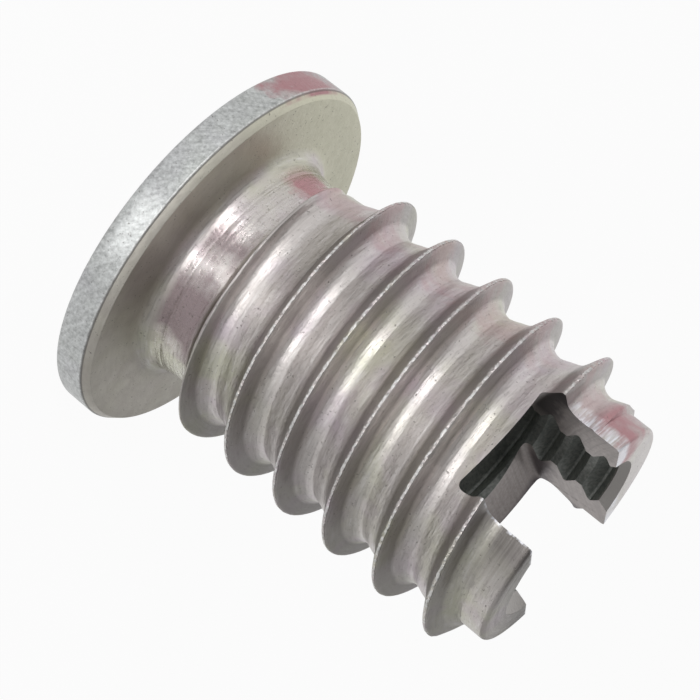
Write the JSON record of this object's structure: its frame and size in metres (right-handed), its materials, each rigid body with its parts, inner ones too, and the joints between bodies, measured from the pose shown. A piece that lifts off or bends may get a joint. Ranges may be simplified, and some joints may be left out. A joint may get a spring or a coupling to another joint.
{
  "type": "threaded insert",
  "caption": "Flanged screw-in insert of plated steel with a coarse outer thread, a tapped metric bore, a hexagon socket in its head and a slot across its tip.",
  "frame": {"origin": "centre of the flange's outer face, on which the insert stands", "axes": "+Z along the insert's axis, from the flange to the slotted tip; +X along the slot"},
  "size_m": [0.013, 0.013, 0.0153],
  "materials": {
    "plated_steel": "turned steel with a thin clear zinc plating, satin, slightly pitted"
  },
  "bodies": {
    "root": {"insert": "plated_steel"}
  },
  "joints": []
}
